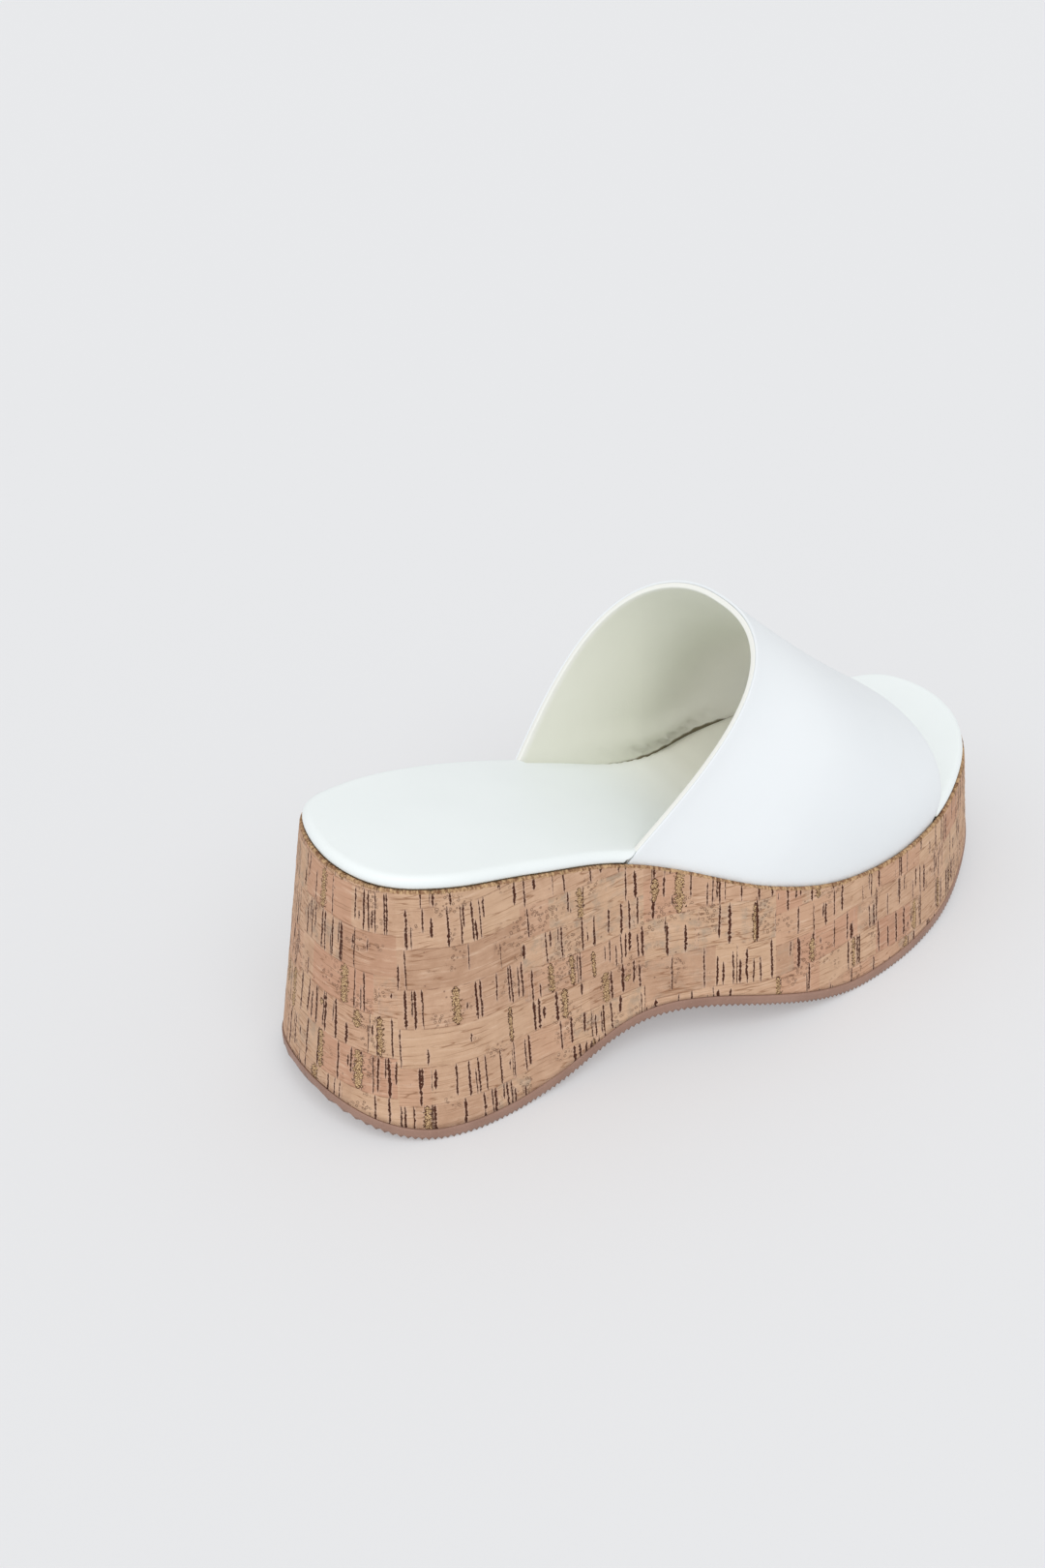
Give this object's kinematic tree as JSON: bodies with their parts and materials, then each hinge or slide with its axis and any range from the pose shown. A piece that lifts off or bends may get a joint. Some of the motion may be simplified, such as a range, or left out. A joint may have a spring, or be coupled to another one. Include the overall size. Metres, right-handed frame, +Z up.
{
  "type": "wedge slide sandal",
  "caption": "Women's right wedge sandal: wide open-toe slide band in smooth white over a cream lining, cork-wrapped platform wedge, white cushioned insole and ribbed outsole.",
  "frame": {"origin": "middle of the footprint's bounding box, on the surface the sandal stands on", "axes": "+X from heel to toes, +Y towards the big-toe side of this right sandal, +Z up"},
  "size_m": [0.2578, 0.1066, 0.1152],
  "materials": {
    "outsole_rubber": "matt brown-pink rubber",
    "core_foam": "moulded light foam, fine closed cells",
    "cork": "natural cork veneer with dark slits, matt",
    "filler_felt": "grey-beige felt",
    "shank_steel": "rolled spring steel",
    "insole_fibreboard": "pressed cellulose board",
    "cushion_foam": "open-cell cushion foam",
    "insole_white": "white synthetic leather, faint grain, satin",
    "upper_white": "smooth white synthetic leather, semi-matt",
    "interlining_fabric": "white woven backing",
    "lining_cream": "cream synthetic lining, matt"
  },
  "bodies": {
    "root": {"outsole": "outsole_rubber", "wedge_core": "core_foam", "cork_wrap": "cork", "bottom_filler": "filler_felt", "shank": "shank_steel", "shank_rivet_heel": "shank_steel", "shank_rivet_waist": "shank_steel", "insole_board": "insole_fibreboard", "insole_foam": "cushion_foam", "insole_cover": "insole_white", "upper_outer": "upper_white", "upper_interlining": "interlining_fabric", "throat_tape": "interlining_fabric", "toe_opening_tape": "interlining_fabric", "upper_lining": "lining_cream"}
  },
  "joints": []
}
